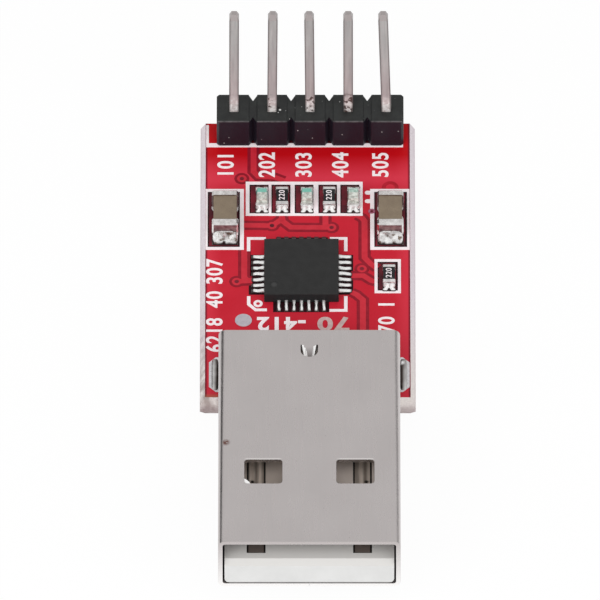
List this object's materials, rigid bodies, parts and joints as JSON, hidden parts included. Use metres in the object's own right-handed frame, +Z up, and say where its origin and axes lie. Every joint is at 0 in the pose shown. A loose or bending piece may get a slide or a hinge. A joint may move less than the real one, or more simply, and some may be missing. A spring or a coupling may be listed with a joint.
{
  "type": "usb to serial adapter module",
  "caption": "Bare red circuit board with a metal A type plug at one end and a straight row of header pins at the other, with a square chip, capacitors and indicator diodes between them.",
  "frame": {"origin": "bottom centre of the whole module, level with the tips of the header's tails", "axes": "+Z up from the board's face along the header pins, +Y from the plug's mouth to the header, +X to the right seen from the plug's mouth"},
  "size_m": [0.0142, 0.0412, 0.0149],
  "materials": {
    "board_laminate": "gloss",
    "plug_steel": "satin",
    "insulator_plastic": "satin",
    "contact_metal": "polished",
    "header_plastic": "satin",
    "pin_metal": "polished",
    "plated_copper": "satin",
    "solder": "polished",
    "chip_plastic": "matte",
    "capacitor_ceramic": "matte",
    "terminal_metal": "satin",
    "diode_base": "matte",
    "diode_lens": "gloss",
    "resistor_ceramic": "matte",
    "resistor_coat": "gloss"
  },
  "bodies": {
    "root": {"chip_leads": "terminal_metal", "chip_solder": "solder", "circuit_board": "board_laminate", "contact_plating": "plated_copper", "contact_solder": "solder", "diode_1": "diode_base", "diode_1_ends": "terminal_metal", "diode_1_lens": "diode_lens", "diode_2": "diode_base", "diode_2_ends": "terminal_metal", "diode_2_lens": "diode_lens", "diode_3": "diode_base", "diode_3_ends": "terminal_metal", "diode_3_lens": "diode_lens", "header_pin_1": "pin_metal", "header_pin_2": "pin_metal", "header_pin_3": "pin_metal", "header_pin_4": "pin_metal", "header_pin_5": "pin_metal", "header_plating": "plated_copper", "header_solder": "solder", "header_strip": "header_plastic", "left_capacitor": "capacitor_ceramic", "left_capacitor_ends": "terminal_metal", "leg_plating": "plated_copper", "leg_solder": "solder", "plug_contact_1": "contact_metal", "plug_contact_2": "contact_metal", "plug_contact_3": "contact_metal", "plug_contact_4": "contact_metal", "plug_insulator": "insulator_plastic", "plug_shell": "plug_steel", "resistor_1": "resistor_ceramic", "resistor_1_coat": "resistor_coat", "resistor_1_ends": "terminal_metal", "resistor_2": "resistor_ceramic", "resistor_2_coat": "resistor_coat", "resistor_2_ends": "terminal_metal", "resistor_3": "resistor_ceramic", "resistor_3_coat": "resistor_coat", "resistor_3_ends": "terminal_metal", "right_capacitor": "capacitor_ceramic", "right_capacitor_ends": "terminal_metal", "serial_chip": "chip_plastic", "surface_lands": "plated_copper", "surface_solder": "solder"}
  },
  "joints": []
}
